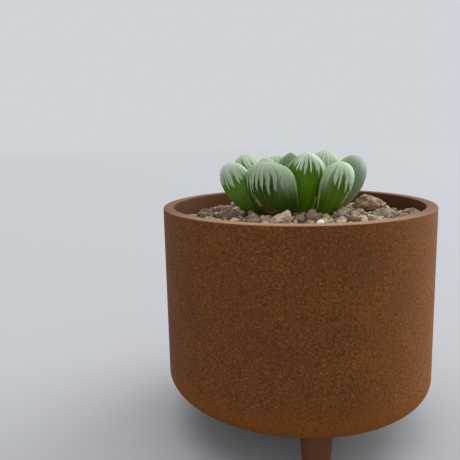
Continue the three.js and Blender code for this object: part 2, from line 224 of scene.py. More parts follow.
SOCKETS = {float: "NodeSocketFloat", tuple: "NodeSocketColor", Vector: "NodeSocketVector"}


def group_tree(name, inputs, outputs):
    tree = bpy.data.node_groups.new(name, "ShaderNodeTree")
    for socket_name, value in inputs.items():
        socket = tree.interface.new_socket(name=socket_name, in_out="INPUT", socket_type=SOCKETS[type(value)])
        socket.default_value = value
    for socket_name, kind in outputs.items():
        tree.interface.new_socket(name=socket_name, in_out="OUTPUT", socket_type=SOCKETS[kind])
    return tree, tree.nodes.new("NodeGroupInput").outputs, tree.nodes.new("NodeGroupOutput").inputs


def use_group(tree, group, **values):
    inputs = {name.replace("_", " "): value for name, value in values.items()}
    return node(tree, "Group", inputs, node_tree=group).outputs


def new_material(name, **constants):
    """A new material, its tree, its shader's inputs, and the place on the piece in metres."""
    material = bpy.data.materials.new(name)
    surface = inputs_of(material, "Principled BSDF", **constants)
    place = node(material.node_tree, "TexCoord").outputs["Object"]
    return material, material.node_tree, surface, place


print("node helpers ready")

# %% [markdown]
# ## Grain and pits
# Fired clay, lava grit and stones all show fine grain with darker pits, at different sizes. One group makes
# it for all of them: noise at three scales on Object coordinates, which are in metres, so a scale of 1000
# gives features about a millimetre across. It puts out a mask of pale specks, a mask of pits and a height
# for a Bump node.

# %% The shared grain group
grain_group, given, wanted = group_tree(
    "grain_and_pits",
    {"Coordinates": Vector(), "Grain Size": 1.0, "Pit Depth": 0.5},
    {"Specks": float, "Pits": float, "Height": float},
)
tree = grain_group
scale = maths(tree, "DIVIDE", 1000.0, given["Grain Size"])
fine = speckle(tree, given["Coordinates"], scale, 3.0, 0.65)
pit_scale = product(tree, scale, 0.45)
pits = node(tree, "TexVoronoi", {"Vector": given["Coordinates"], "Scale": pit_scale}, feature="SMOOTH_F1")
broad = speckle(tree, given["Coordinates"], product(tree, scale, 0.2), 4.0)
specks = eased(tree, fine, 0.52, 0.68)
pit_mask = eased(tree, pits.outputs["Distance"], 0.42, 0.2)
pit_mask = product(tree, pit_mask, remap(tree, broad, 0.45, 0.6))
height = product(tree, pit_mask, product(tree, given["Pit Depth"], -1.0))
height = maths(tree, "ADD", height, product(tree, fine, 0.5))
height = maths(tree, "ADD", height, broad)
for name, socket in {"Specks": specks, "Pits": pit_mask, "Height": height}.items():
    tree.links.new(socket, wanted[name])
print("group:", grain_group.name)

# %% [markdown]
# ## The pot
# The real pot was turned and then fired with its feet on. The same steps make it here: a profile is drawn
# as points and spun round the upright axis, each foot is spun in the same way, and Boolean unions join the
# feet to the base, so that the pot is a single closed skin. Its radius and its height are read from the
# solid, and its feet stand where the part's resting faces are.

# %% Spin the pot and its feet
pot_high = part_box("pot")[1]
soil_low, soil_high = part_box("soil")
CLEARANCE = 0.3 * MM
RIM = pot_high.z
POT_RADIUS = pot_high.x
INNER_RADIUS = soil_high.x + CLEARANCE
FOOT_HEIGHT = 16 * MM
FLOOR_HEIGHT = soil_low.z - CLEARANCE
CORNER = 5 * MM
INNER_CORNER = 3 * MM
RIM_ROUND = 0.5 * MM
DRAIN_RADIUS = 4.5 * MM
POT_SEGMENTS, FOOT_SEGMENTS = 256, 64
SAME_POINT = 1e-7


def arc(centre_radius, centre_height, radius, start, end, steps):
    """Points (radius, height) on an arc from one angle to another, in degrees."""
    angles = [math.radians(start + (end - start) * i / steps) for i in range(steps + 1)]
    return [(centre_radius + radius * math.cos(a), centre_height + radius * math.sin(a)) for a in angles]


def straight(start, end, steps):
    """Points between two ends, without the ends."""
    return [tuple(Vector(start).lerp(Vector(end), i / steps)) for i in range(1, steps)]


def spun(name, profile, segments, closed):
    bm = bmesh.new()
    verts = [bm.verts.new((radius, 0, height)) for radius, height in profile]
    ends = verts[1:] + verts[:1] if closed else verts[1:]
    edges = [bm.edges.new(pair) for pair in zip(verts, ends)]
    bmesh.ops.spin(
        bm, geom=verts + edges, cent=(0, 0, 0), axis=(0, 0, 1), angle=2 * math.pi, steps=segments,
        use_merge=True,
    )
    bmesh.ops.remove_doubles(bm, verts=bm.verts, dist=SAME_POINT)
    bmesh.ops.recalc_face_normals(bm, faces=bm.faces)
    return object_from(bm, name)


drain_low, drain_high = (DRAIN_RADIUS, FOOT_HEIGHT), (DRAIN_RADIUS, FLOOR_HEIGHT)
outer_corner = arc(POT_RADIUS - CORNER, FOOT_HEIGHT + CORNER, CORNER, -90, 0, steps=14)
outer_rim = arc(POT_RADIUS - RIM_ROUND, RIM - RIM_ROUND, RIM_ROUND, 0, 90, steps=6)
inner_rim = arc(INNER_RADIUS + RIM_ROUND, RIM - RIM_ROUND, RIM_ROUND, 90, 180, steps=6)
inner_corner = arc(
    INNER_RADIUS - INNER_CORNER, FLOOR_HEIGHT + INNER_CORNER, INNER_CORNER, 0, -90, steps=6
)
pot_profile = [drain_low, *straight(drain_low, outer_corner[0], steps=5), *outer_corner]
pot_profile += [*straight(outer_corner[-1], outer_rim[0], steps=24), *outer_rim, *inner_rim]
pot_profile += [*straight(inner_rim[-1], inner_corner[0], steps=16), *inner_corner]
pot_profile += [*straight(inner_corner[-1], drain_high, steps=4), drain_high]
pot = spun("stoneware_pot", pot_profile, POT_SEGMENTS, closed=True)

FOOT_TOP, FOOT_TIP, FOOT_BEVEL, FOOT_FILLET, FOOT_SUNK = (x * MM for x in (5.5, 4.4, 0.7, 1.4, 2.0))
foot_profile = [(0, 0), *arc(FOOT_TIP - FOOT_BEVEL, FOOT_BEVEL, FOOT_BEVEL, -90, 0, steps=5)]
foot_profile += straight(foot_profile[-1], (FOOT_TOP, FOOT_HEIGHT - FOOT_FILLET), steps=8)
foot_profile += arc(FOOT_TOP + FOOT_FILLET, FOOT_HEIGHT - FOOT_FILLET, FOOT_FILLET, 180, 90, steps=7)
foot_profile += [(FOOT_TOP + FOOT_FILLET, FOOT_HEIGHT + FOOT_SUNK), (0, FOOT_HEIGHT + FOOT_SUNK)]


def applied(obj):
    """Gives an object the mesh that its modifiers make, and takes the modifiers off."""
    seen = obj.evaluated_get(bpy.context.evaluated_depsgraph_get())
    old, obj.data = obj.data, bpy.data.meshes.new_from_object(seen)
    obj.modifiers.clear()
    obj.data.name = obj.name
    bpy.data.meshes.remove(old)


def cut_or_join(obj, operation, tools):
    """One Boolean for each tool, worked out together. The tools are removed."""
    for tool in tools:
        boolean = obj.modifiers.new(tool.name, "BOOLEAN")
        boolean.operation = operation
        boolean.solver = "MANIFOLD"
        boolean.object = tool
    applied(obj)
    for tool in tools:
        bpy.data.objects.remove(tool)


feet = []
for mount in frame["record"]["mounts"]:
    foot = spun("new_" + mount["name"], foot_profile, FOOT_SEGMENTS, closed=False)
    foot.data.transform(Matrix.Translation(Vector((*mount["pos_m"][:2], 0))))
    feet.append(foot)
cut_or_join(pot, "UNION", feet)
pot.data.shade_smooth()
pot.data.set_sharp_from_angle(angle=math.radians(50))
print("pot faces:", len(pot.data.polygons))

# %% [markdown]
# ## The pot's finish
# Iron in the clay has burnt to a dark rust brown, all over a fine grain of paler and darker specks about
# half a millimetre wide, with slow clouds of ochre and plum between them. The right side is painted paler
# with painted light from the right. The lower corner leans to ochre, partly a tone of the clay and partly
# painted warm bounce light from below, and the feet are painted a brighter orange as bounce light from
# below. Dust dulls the inside, and painted shade darkens it towards the right. The flat top of the rim is
# palest of all in front and darker further back. Noise on Object coordinates gives specks and clouds at
# their real size, and the place on the pot gives the rest. The same grain feeds a Bump node, since a matt
# surface shows its texture only as light and shade.

# %% The pot's material
# Painted light from the right covers the wall from this far right of the axis out to its edge.
PAINTED_LIGHT_FROM = 12 * MM  # to the right of the axis
OCHRE_FROM, OCHRE_FULL = 30 * MM, 18 * MM  # heights
RIM_PALE_TO, RIM_DARK_FROM = -46 * MM, -22 * MM  # from front to back
stoneware, tree, surface, place = new_material("rust_stoneware", Specular_IOR_Level=0.1)
axes = node(tree, "SeparateXYZ", {"Vector": place}).outputs
z = axes["Z"]
grain = use_group(tree, grain_group, Coordinates=place, Grain_Size=0.6, Pit_Depth=0.3)
mottle = speckle(tree, place, 1700.0)
patches = speckle(tree, place, 95.0, 5.0)
clouds = speckle(tree, place, 24.0)
grainy = remap(tree, patches, 0.42, 0.6, 0.4, 1.0)
two_tones = eased(tree, mottle, 0.34, 0.66)
mottle_share = node(tree, "Mix", {0: grainy, 2: 0.45, 3: two_tones}).outputs[0]
# Painted light: the right side of the wall is painted paler, as light from the right makes it.
painted_light_on_right = remap(tree, axes["X"], PAINTED_LIGHT_FROM, POT_RADIUS, 0.0, 0.6)
uneven_height = maths(tree, "ADD", z, remap(tree, patches, 0.3, 0.7, -3 * MM, 3 * MM))
# The lower corner is partly ochre in the clay and partly painted warm bounce light from below.
ochre_and_bounce_corner = eased(tree, uneven_height, OCHRE_FROM, OCHRE_FULL, 0.0, 0.5)
# Painted bounce light: the feet are painted a brighter orange, as light from below makes them.
painted_bounce_on_feet = remap(tree, z, FOOT_HEIGHT + 0.5 * MM, FOOT_HEIGHT - 1.5 * MM, 0.0, 0.75)
from_axis = node(tree, "VectorMath", {0: place, 1: (1.0, 1.0, 0.0)}, operation="MULTIPLY").outputs[0]
from_axis = node(tree, "VectorMath", {0: from_axis}, operation="LENGTH").outputs["Value"]
inside = remap(tree, from_axis, POT_RADIUS - 1.5 * MM, INNER_RADIUS + 0.5 * MM, 0.0, 0.85)
# Dust pales the inside, and painted shade darkens it towards the right, where light from the right misses.
dust_and_shade_inside = blended(tree, remap(tree, axes["X"], 0.0, INNER_RADIUS), linear(92, 62, 45), linear(60, 38, 25))
rim = eased(tree, z, RIM - 0.35 * MM, RIM - 0.08 * MM)
rim_tone = blended(tree, mottle, linear(138, 104, 82), linear(162, 128, 104))
away_from_front = remap(tree, axes["Y"], RIM_PALE_TO, RIM_DARK_FROM, 0.0, 0.8)
rust = layered(tree, blended(tree, mottle_share, linear(81, 43, 17), linear(122, 73, 34)), [
    (eased(tree, patches, 0.5, 0.66, 0.0, 0.4), linear(116, 70, 24)),
    (eased(tree, clouds, 0.52, 0.38, 0.0, 0.35), linear(92, 52, 36)),
    (product(tree, grain["Specks"], 0.5), linear(158, 106, 62)),
    (product(tree, grain["Pits"], 0.3), linear(58, 28, 10)),
    (painted_light_on_right, blended(tree, mottle_share, linear(122, 70, 30), linear(170, 112, 56))),
    (ochre_and_bounce_corner, linear(130, 72, 6)),
    (painted_bounce_on_feet, blended(tree, mottle_share, linear(132, 66, 18), linear(206, 128, 56))),
    (inside, dust_and_shade_inside),
    (rim, blended(tree, away_from_front, rim_tone, linear(104, 72, 52))),
])
tree.links.new(rust, surface["Base Color"])
tree.links.new(remap(tree, mottle, 0.35, 0.65, 0.8, 0.62), surface["Roughness"])
height = maths(tree, "ADD", grain["Height"], product(tree, mottle, 0.8))
bumped(tree, surface, height, 0.3, 0.14 * MM)


def finish_piece(obj, material, slot, *nodes):
    """Puts a material on a piece, seats it on the part and hides the solids that it stands for."""
    obj.data.materials.clear()
    obj.data.materials.append(material)
    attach(obj, "root")
    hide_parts(*nodes)


finish_piece(pot, stoneware, "pot_stoneware", "pot")
print("material:", stoneware.name)

# %% [markdown]
# ## The leaves' form
# Each leaf is a closed skin round a curved midrib: narrow where it leaves the crown, widest and thickest
# near its tip, with a rounder back and a flatter face that meet at a margin on each side. A sphere is
# reshaped into it. Its poles become the two ends, its rings become sections across the leaf, and each
# vertex is put where the midrib, the width and the thickness say. The widths and places are those of the
# solids, so the fine leaves lie where the plain ones do. A leaf's azimuth is counted from the front, a tip
# is a radius and a height over the rim, a base is an azimuth and a radius, and lengths are in mm.

# %% The leaves' places and sizes
ROSETTE_CENTRE = Vector((-1, 0, 0)) * MM
SOIL_AT_PLANT = RIM - 3.7 * MM
LEAF_BASE = SOIL_AT_PLANT - 3.5 * MM
WHORLS = {
    "heart": [
        {"azimuth": -30, "tip": (1.5, 11.5), "base": (-30, 1.6), "width": 6.5},
        {"azimuth": 110, "tip": (1.5, 12), "base": (110, 1.6), "width": 6},
    ],
    "inner": [
        {"azimuth": -100, "tip": (6, 14), "base": (-100, 3.2), "width": 10.5, "point": 0.6},
        {"azimuth": 30, "tip": (5.6, 15.5), "base": (30, 3.2), "width": 10.5, "point": 0.7},
        {"azimuth": 160, "tip": (6, 14), "base": (160, 3.2), "width": 10.5, "point": 0.7},
    ],
    "middle": [
        {"azimuth": 22, "facing": 12, "tip": (13, 19.2), "base": (8, 5.6), "width": 15, "point": 0.7},
        {"azimuth": 65, "facing": 48, "tip": (13, 19.6), "base": (72, 5), "width": 17.6, "waist": 0.4},
        {"azimuth": 122, "tip": (13, 16), "base": (122, 5.4), "width": 14.5, "point": 0.3},
        {"azimuth": -177, "tip": (13.5, 18.4), "base": (178, 5.4), "width": 12.4, "point": 0.9},
        {"azimuth": -123, "tip": (12.5, 17), "base": (-123, 5.4), "width": 13.5, "point": 0.2},
        {"azimuth": -55, "tip": (12.5, 15.5), "base": (-58, 5.4), "width": 14, "point": 0.3},
    ],
    "outer": [
        {
            "azimuth": -28.3, "tip": (20.2, 16.3), "base": (-16, 8.4), "width": 19.2,
            "waist": 0.5, "taper": 1.3,
        },
        {
            "azimuth": 45.4, "facing": 26, "tip": (22.8, 16), "base": (42, 10.6), "width": 11.8,
            "waist": 0.3, "taper": 2.4,
        },
        {"azimuth": -71, "facing": -50, "tip": (25.3, 15.8), "base": (-58, 6), "width": 14.4},
        {"azimuth": 82, "facing": 52, "tip": (23.2, 17.4), "base": (76, 7), "width": 16, "waist": 0.35},
        {"azimuth": 143, "tip": (21.5, 15.5), "base": (140, 7.5), "width": 18.5, "point": 0.2},
        {"azimuth": -117, "tip": (22, 18), "base": (-115, 7), "width": 14.8, "point": 0.2},
        {"azimuth": -162, "tip": (20.5, 16.8), "base": (-165, 7.5), "width": 18, "point": 0.1},
    ],
}
USUAL_LEAF = {"point": 0, "waist": 0.5, "taper": 1.6}
USUAL_IN_WHORL = {
    "heart": {"thickness": 4.4, "point": 0.8, "waist": 0.6},
    "inner": {"thickness": 5.6, "waist": 0.6},
    "middle": {"thickness": 8},
    "outer": {"thickness": 10.6, "waist": 0.45},
}
print("leaves:", sum(len(shapes) for shapes in WHORLS.values()))

# %% Helpers that shape a leaf
BEND_RADIUS, BEND_HEIGHT = 0.64, 0.4
WIDEST_AT, THICKEST_AT = 0.74, 0.66
BASE_THICKNESS, THICKNESS_TAPER, BACK_SHARE = 0.4, 1.4, 0.6
BLUNT_TIP, POINTED_TIP = (2.8, 0.5), (1.7, 0.75)
SHARPER_MARGIN = 1.18


def mix(a, b, share):
    return a + (b - a) * share


def around(radius, azimuth, height):
    """The point at a radius in mm and an azimuth in degrees from the front, round the rosette's axis."""
    a = math.radians(azimuth)
    return ROSETTE_CENTRE + Vector((radius * MM * math.sin(a), -radius * MM * math.cos(a), height))


def width_share(s, leaf):
    if s < WIDEST_AT:
        return mix(leaf["waist"], 1, math.sin(math.pi / 2 * s / WIDEST_AT) ** leaf["taper"])
    beyond = (s - WIDEST_AT) / (1 - WIDEST_AT)
    fall, roundness = (mix(blunt, pointed, leaf["point"]) for blunt, pointed in zip(BLUNT_TIP, POINTED_TIP))
    return max(0.0, 1 - beyond**fall) ** roundness


def thickness_share(s):
    if s < THICKEST_AT:
        return mix(BASE_THICKNESS, 1, math.sin(math.pi / 2 * s / THICKEST_AT) ** THICKNESS_TAPER)
    beyond = (s - THICKEST_AT) / (1 - THICKEST_AT)
    return math.sqrt(max(0.0, 1 - beyond * beyond))


def midrib_of(leaf):
    """The midrib as a function of the share of its length: a place and a direction."""
    tip_height = RIM + leaf["tip"][1] * MM
    base = around(leaf["base"][1], leaf["base"][0], LEAF_BASE)
    bend_radius = mix(leaf["base"][1], leaf["tip"][0], BEND_RADIUS)
    bend = around(bend_radius, leaf["azimuth"], mix(LEAF_BASE, tip_height, BEND_HEIGHT))
    tip = around(leaf["tip"][0], leaf["azimuth"], tip_height)

    def midrib(s):
        place = base * (1 - s) ** 2 + bend * 2 * s * (1 - s) + tip * s**2
        return place, ((bend - base) * (1 - s) + (tip - bend) * s).normalized()

    return midrib


def skin_point(leaf, midrib, s, a, grow):
    """The place on a leaf's skin at a share of its length and an angle round it."""
    place, along = midrib(s)
    facing = math.radians(leaf.get("facing", leaf["azimuth"]))
    outward = Vector((math.sin(facing), -math.cos(facing), 0))
    side = along.cross(outward).normalized()
    back = side.cross(along)
    half_width = leaf["width"] / 2 * MM * width_share(s, leaf) + grow
    share = BACK_SHARE if math.sin(a) > 0 else 1 - BACK_SHARE
    depth = leaf["thickness"] * MM * share * thickness_share(s) + grow
    rise = math.copysign(abs(math.sin(a)) ** SHARPER_MARGIN, math.sin(a))
    return place + side * half_width * math.cos(a) + back * depth * rise


print("a leaf's width halfway up, as a share:", round(width_share(0.5, USUAL_LEAF), 2))

# %% [markdown]
# ## Building the leaves
# The leaves press on each other, so each later leaf is hollowed where it lies against the ones inside it,
# with a hair of room between them. A UV map goes along with the skin: across it runs round the leaf, and
# up it runs from base to tip, so that a pattern can follow the leaf's own lines.

# %% Build the leaves
LEAF_COLUMNS, LEAF_ROWS = 64, 56
PRESS_GAP = 0.06 * MM


def leaf_mesh(name, leaf, grow):
    midrib = midrib_of(leaf)
    bm = bmesh.new()
    bmesh.ops.create_uvsphere(bm, u_segments=LEAF_COLUMNS, v_segments=LEAF_ROWS, radius=1)
    uv = bm.loops.layers.uv.new("along_leaf")
    where = {}
    for vert in bm.verts:
        row = round(math.acos(max(-1.0, min(1.0, -vert.co.z))) / math.pi * LEAF_ROWS)
        s = math.sin(math.pi / 2 * max(0, row - 1) / (LEAF_ROWS - 1))
        a = math.atan2(vert.co.y, vert.co.x) % (2 * math.pi)
        pole = row in (0, LEAF_ROWS)
        where[vert] = (None if pole else a / (2 * math.pi), s)
        if row == 0:
            vert.co = midrib(0)[0] - Vector((0, 0, grow))
        else:
            vert.co = skin_point(leaf, midrib, s, a, grow if row < LEAF_ROWS else 0)
    for face in bm.faces:
        columns = [where[loop.vert][0] for loop in face.loops if where[loop.vert][0] is not None]
        wraps = max(columns) - min(columns) > 0.5
        columns = [u + 1 if wraps and u < 0.5 else u for u in columns]
        for loop in face.loops:
            u, v = where[loop.vert]
            if u is None:
                u = sum(columns) / len(columns)
            elif wraps and u < 0.5:
                u += 1
            loop[uv].uv = (u, v)
    bm.normal_update()
    bmesh.ops.recalc_face_normals(bm, faces=bm.faces)
    return mesh_from(bm, name)


def close_together(a, b):
    """Whether the boxes round two meshes overlap."""
    boxes = []
    for mesh in (a, b):
        places = [vert.co for vert in mesh.vertices]
        boxes.append([[pick(p[axis] for p in places) for axis in range(3)] for pick in (min, max)])
    (a_low, a_high), (b_low, b_high) = boxes
    return all(a_low[i] < b_high[i] and b_low[i] < a_high[i] for i in range(3))


leaves = {}
for whorl, shapes in WHORLS.items():
    for i, shape in enumerate(shapes, start=1):
        leaf = {**USUAL_LEAF, **USUAL_IN_WHORL[whorl], **shape}
        name = f"window_leaf_{whorl}_{i}"
        made = add_object(name, leaf_mesh(name, leaf, 0))
        near = [one for one in leaves.values() if close_together(one["room"], made.data)]
        cut_or_join(made, "DIFFERENCE", [add_object("room", one["room"]) for one in near])
        room = leaf_mesh(name + "_room", leaf, PRESS_GAP)
        leaves[f"{whorl}_{i}"] = {"object": made, "room": room, "width": leaf["width"]}
for one in leaves.values():
    one["object"].data.shade_smooth()
    one["object"].data.set_sharp_from_angle(angle=math.radians(35))
    bpy.data.meshes.remove(one["room"])
print("leaf faces:", sum(len(one["object"].data.polygons) for one in leaves.values()))

# %% [markdown]
# ## The leaves' finish
# A window leaf lets light in at its tip. There the skin has no green under it and looks pale and watery.
# Whitish fingers run down from the window and end in points, and dark green tongues rise between them to
# thin lines that reach the tip. Points scattered along the way round the leaf carry the fingers: the
# distance to the nearest one, a one-dimensional Voronoi texture, makes a zigzag whose peaks differ in
# height, and the line between window and green follows it. Some leaves have a smooth stretch, where the
# window fades into the green with no fingers. A thin pale line runs along each margin.

# %% The window pattern as a group
window_group, given, wanted = group_tree(
    "leaf_window",
    dict.fromkeys(
        ("Edge", "Reach", "Fingers", "Seed", "Smooth From", "Smooth To", "Slant", "Dip", "Margin Width"), 0.0
    ),
    {name: float for name in ("Window", "Light", "Dark", "Margin", "Height", "Along", "Ribs")},
)
tree = window_group
uv_map = node(tree, "UVMap", uv_map="along_leaf").outputs["UV"]
split = node(tree, "SeparateXYZ", {"Vector": uv_map}).outputs
u, v = split["X"], split["Y"]


def times(a, b):
    return product(tree, a, b)


def plus(a, b):
    return maths(tree, "ADD", a, b)


def minus(a, b):
    return maths(tree, "SUBTRACT", a, b)


def noise_1d(place, detail=0.0):
    inputs = {"W": place, "Scale": 1.0, "Detail": detail}
    return node(tree, "TexNoise", inputs, noise_dimensions="1D").outputs["Fac"]


def gap_1d(place):
    return node(tree, "TexVoronoi", {"W": place, "Scale": 1.0}, voronoi_dimensions="1D").outputs["Distance"]


# How far a point is from the nearer margin, in shares of half the way round the leaf.
halfway = maths(tree, "FRACT", times(u, 2.0))
from_margin = minus(0.5, maths(tree, "ABSOLUTE", minus(halfway, 0.5)))
wide, narrow = (times(given["Margin Width"], share) for share in (2.0, 0.6))
margin = eased(tree, from_margin, wide, narrow)

# Where a finger is, how high each tongue rises, and how far a point is above the window's edge. The edge
# dips towards the margins and may slant across the leaf.
wobble = speckle(tree, uv_map, 5.0, 1.0)
across = plus(u, times(minus(wobble, 0.5), 0.03))
across = plus(times(across, given["Fingers"]), given["Seed"])
gap = gap_1d(across)
fine_gap = gap_1d(times(across, 2.7))
lines = noise_1d(times(across, 3.1), detail=2.0)
rise = plus(times(gap, 1.6), times(fine_gap, 0.5))
rise = plus(rise, times(noise_1d(times(across, 0.3)), 0.6))
rise = plus(rise, times(noise_1d(times(across, 1.3)), 0.6))
dip = eased(tree, from_margin, 0.14, 0.0, 0.0, given["Dip"])
middle_edge = minus(given["Edge"], dip)
outside_half = minus(maths(tree, "MINIMUM", u, 0.5), 0.25)
middle_edge = plus(middle_edge, times(outside_half, given["Slant"]))
edge = plus(middle_edge, times(minus(rise, 1.12), given["Reach"]))
above = minus(v, edge)
up = minus(v, middle_edge)

# The window, sharp where it has fingers and faded along the smooth stretch.
past_start = minus(u, given["Smooth From"])
before_end = minus(given["Smooth To"], u)
inward = maths(tree, "MINIMUM", past_start, before_end)
fingered = eased(tree, inward, 0.05, -0.05)
streaked = plus(up, times(minus(lines, 0.5), 0.3))
faded = eased(tree, streaked, -0.26, 0.14)
sharp = eased(tree, above, -0.008, 0.018)
window = node(tree, "Mix", {0: fingered, 2: faded, 3: sharp}).outputs[0]

# White streaks down the middle of each finger, and dark lines from each tongue up to the tip.
lower_part = eased(tree, up, 0.12, -0.06, 0.12, 1.0)
finger_core = times(eased(tree, gap, 0.4, 0.08), lower_part)
thin_lines = eased(tree, lines, 0.5, 0.66, 0.0, 0.75)
light = times(maths(tree, "MAXIMUM", finger_core, thin_lines), maths(tree, "MAXIMUM", sharp, faded))
tongue_line = times(eased(tree, gap, 0.4, 0.5), eased(tree, up, 0.2, 0.05))
fine_line = eased(tree, fine_gap, 0.4, 0.5, 0.0, 0.7)
fine_line = times(fine_line, eased(tree, up, 0.24, 0.06))
faint_line = eased(tree, lines, 0.48, 0.36, 0.0, 0.4)
dark = times(maths(tree, "MAXIMUM", tongue_line, fine_line), times(sharp, fingered))
dark = maths(tree, "MAXIMUM", dark, faint_line)
relief = plus(times(lines, 0.6), times(light, 0.4))
results = {"Window": window, "Light": light, "Dark": dark, "Margin": margin, "Height": relief}
for name, socket in {**results, "Along": v, "Ribs": lines}.items():
    tree.links.new(socket, wanted[name])
print("group:", window_group.name)

# %% [markdown]
# Each leaf has its own greens. The one in front is a dull grey green with a smooth right side, its
# neighbour on the right is the most vivid, and the one on the far right is window for most of its length.
# The greens are listed by leaf, with a usual set for the rest, and one function turns a set into a
# material. The gloss is stronger on the watery window than on the green, so the coat follows the window.

# %% The leaves' greens
FINGER_SPACING = 1.45  # mm, measured round the leaf
AROUND_PER_WIDTH = 2.4  # the way round a leaf, as a share of its width
USUAL_GREENS = {
    "low": (54, 80, 18), "high": (78, 108, 36), "tongue": (56, 90, 22), "window": (146, 168, 136),
    "light": (188, 205, 180), "margin": (150, 170, 108), "edge": 0.78, "reach": 0.15,
    "smooth": (-2.0, -1.0), "slant": 0.0, "dip": 0.2, "margin_width": 0.008,
}
GREENS = {
    "outer_1": {
        "low": (50, 74, 14), "high": (66, 96, 26), "tongue": (44, 76, 16), "window": (150, 172, 138),
        "light": (190, 206, 182), "reach": 0.19, "smooth": (-1.0, 0.15), "margin_width": 0.018,
        "dip": 0.12,
    },
    "middle_1": {
        "low": (78, 124, 3), "high": (96, 140, 20), "tongue": (68, 112, 6), "window": (186, 203, 177),
        "light": (216, 228, 211), "edge": 0.83, "reach": 0.16, "smooth": (-1.0, 0.1), "slant": 0.5,
        "dip": 0.1,
    },
    "outer_2": {
        "low": (68, 104, 2), "high": (92, 128, 30), "tongue": (64, 104, 10), "window": (168, 190, 158),
        "light": (196, 212, 188), "edge": 0.79, "reach": 0.19, "smooth": (0.4, 2.0), "margin_width": 0.035,
    },
    "outer_3": {
        "low": (70, 102, 30), "high": (112, 154, 56), "tongue": (80, 130, 24), "window": (168, 188, 162),
        "light": (204, 218, 198), "edge": 0.79, "reach": 0.14, "dip": 0.3,
    },
    "outer_4": {
        "low": (76, 96, 54), "high": (96, 116, 80), "window": (112, 131, 101), "light": (148, 167, 140),
        "edge": 0.36, "reach": 0.12, "margin_width": 0.016,
    },
    "middle_2": {"window": (144, 166, 135), "light": (200, 214, 194), "edge": 0.62},
    "middle_4": {"window": (104, 134, 92), "light": (140, 166, 128), "edge": 0.74},
}
print("leaves with greens of their own:", len(GREENS))

# %% The leaves' materials
SHADES = ("low", "high", "tongue", "window", "light", "margin")


def leaf_material(name, greens, width, seed):
    material, tree, surface, place = new_material(
        name, Subsurface_Weight=0.15, Subsurface_Scale=1.2 * MM, Subsurface_Radius=(0.7, 1.0, 0.35),
        Specular_IOR_Level=0.2, Coat_Roughness=0.25, IOR=1.4,
    )
    shades = {key: linear(*value) for key, value in greens.items() if key in SHADES}
    edge = greens["edge"]
    smooth_from, smooth_to = greens["smooth"]
    pattern = use_group(
        tree, window_group, Edge=edge, Reach=greens["reach"], Seed=seed, Margin_Width=greens["margin_width"],
        Fingers=AROUND_PER_WIDTH * width / FINGER_SPACING, Smooth_From=smooth_from, Smooth_To=smooth_to,
        Slant=greens["slant"], Dip=greens["dip"],
    )
    along, window = pattern["Along"], pattern["Window"]
    mottle = speckle(tree, place, 520.0, 4.0, 0.6)
    body = layered(tree, shades["low"], [
        (eased(tree, along, 0.15, edge), shades["high"]),
        (remap(tree, pattern["Ribs"], 0.4, 0.65, 0.3, 0.0), shades["low"]),
        (remap(tree, pattern["Ribs"], 0.55, 0.75, 0.0, 0.22), shades["margin"]),
        (eased(tree, along, edge - 0.16, edge, 0.0, 0.8), shades["tongue"]),
    ])
    clear = layered(tree, shades["window"], [
        (pattern["Light"], shades["light"]),
        (remap(tree, mottle, 0.52, 0.72, 0.0, 0.25), shades["high"]),
        (product(tree, pattern["Dark"], 0.8), shades["tongue"]),
    ])
    margin = product(tree, pattern["Margin"], 0.7)
    colour = layered(tree, body, [(window, clear), (margin, shades["margin"])])
    tree.links.new(colour, surface["Base Color"])
    tree.links.new(remap(tree, mottle, 0.3, 0.7, 0.36, 0.5), surface["Roughness"])
    tree.links.new(remap(tree, window, 0.0, 1.0, 0.02, 0.12), surface["Coat Weight"])
    bumped(tree, surface, pattern["Height"], 0.25, 0.3 * MM)
    return material


SEED_STEP = 17.3  # each leaf starts this much further along the noise
for i, (name, one) in enumerate(leaves.items()):
    greens = {**USUAL_GREENS, **GREENS.get(name, {})}
    one["skin"] = leaf_material(f"window_leaf_{name}_skin", greens, one["width"], SEED_STEP * i)
    finish_piece(one["object"], one["skin"], "leaf", "leaf_" + name)
print("leaf materials:", len(leaves))

# %% [markdown]
# ## Marks of age and painted light
# The front leaf is the oldest one that shows, and it has marks: a dry straw-coloured patch at its left
# edge, a brown scar with a pale lower lip at its foot, and a faint arc where another leaf once pressed on
# it. Beside it, light shining through a thin edge of its neighbour is painted on as a yellow-green streak,
# and the leaf on the right has a pale line down its outer side. Each mark follows short lines on the skin,
# so one function masks all that lies near a line, and it is laid over the colour that the leaf's shader has.

# %% Add the marks
def near_line(tree, place, start, end, radius):
    """1 near a line between two points in mm and 0 beyond radius, with an uneven edge."""
    start, end = Vector(start) * MM, Vector(end) * MM
    run = end - start
    offset = node(tree, "VectorMath", {0: place, 1: start}, operation="SUBTRACT").outputs[0]
    step = run / run.length_squared
    share = node(tree, "VectorMath", {0: offset, 1: step}, operation="DOT_PRODUCT").outputs["Value"]
    share = remap(tree, share, 0.0, 1.0)
    nearest = node(tree, "VectorMath", {0: run, "Scale": share}, operation="SCALE").outputs[0]
    distance = node(tree, "VectorMath", {0: offset, 1: nearest}, operation="DISTANCE").outputs["Value"]
    radius *= MM
    uneven = remap(tree, speckle(tree, place, 1100.0), 0.3, 0.7, -0.3 * radius, 0.3 * radius)
    distance = maths(tree, "ADD", distance, uneven)
    return eased(tree, distance, 1.15 * radius, 0.35 * radius)


